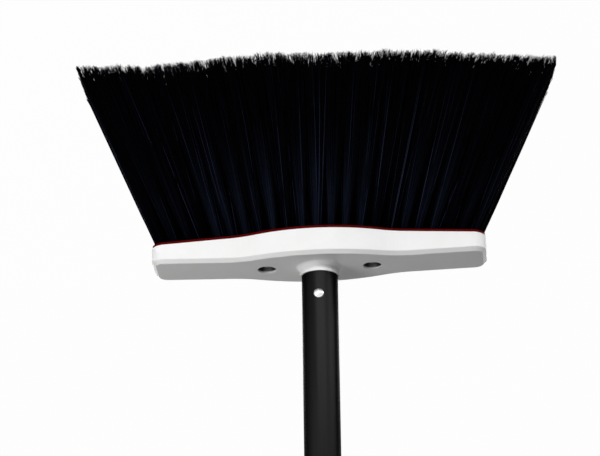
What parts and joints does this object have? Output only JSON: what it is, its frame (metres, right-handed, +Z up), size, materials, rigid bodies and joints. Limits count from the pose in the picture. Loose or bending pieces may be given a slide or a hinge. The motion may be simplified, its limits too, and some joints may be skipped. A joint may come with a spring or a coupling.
{
  "type": "lobby broom",
  "caption": "Upright lobby broom with a bulged white block, flared black bristles and a black tube handle held on by a sprung snap button.",
  "frame": {"origin": "on the floor under the middle of the trimmed bristle tips, with the broom standing upright", "axes": "+X along the block, -Y to the front that the snap button faces, +Z up the handle"},
  "size_m": [0.324, 0.0798, 0.9438],
  "materials": {
    "white_plastic": "satin moulded plastic",
    "red_plastic": "satin moulded plastic",
    "screw_steel": "zinc plated",
    "bristles": "flagged synthetic filament",
    "black_tube": "satin black coating",
    "spring_steel": "spring temper",
    "plated_button": "bright plated",
    "black_plastic": "satin moulded plastic"
  },
  "bodies": {
    "broom": {"block_housing": "white_plastic", "tuft_plate": "red_plastic", "plate_screws": "screw_steel", "bristle_row_1": "bristles", "bristle_row_2": "bristles", "bristle_row_3": "bristles", "bristle_row_4": "bristles", "bristle_row_5": "bristles", "handle_tube": "black_tube", "spring_clip": "spring_steel", "end_cap": "black_plastic"},
    "button": {"snap_button": "plated_button"}
  },
  "joints": [
    {"name": "button_press", "type": "slide", "parent": "broom", "child": "button", "axis": [0, 1, 0], "range_m": [0, 0.004], "stiffness_N_per_m": 2500, "springref_m": -0.001, "deforming": ["spring_clip"]}
  ]
}
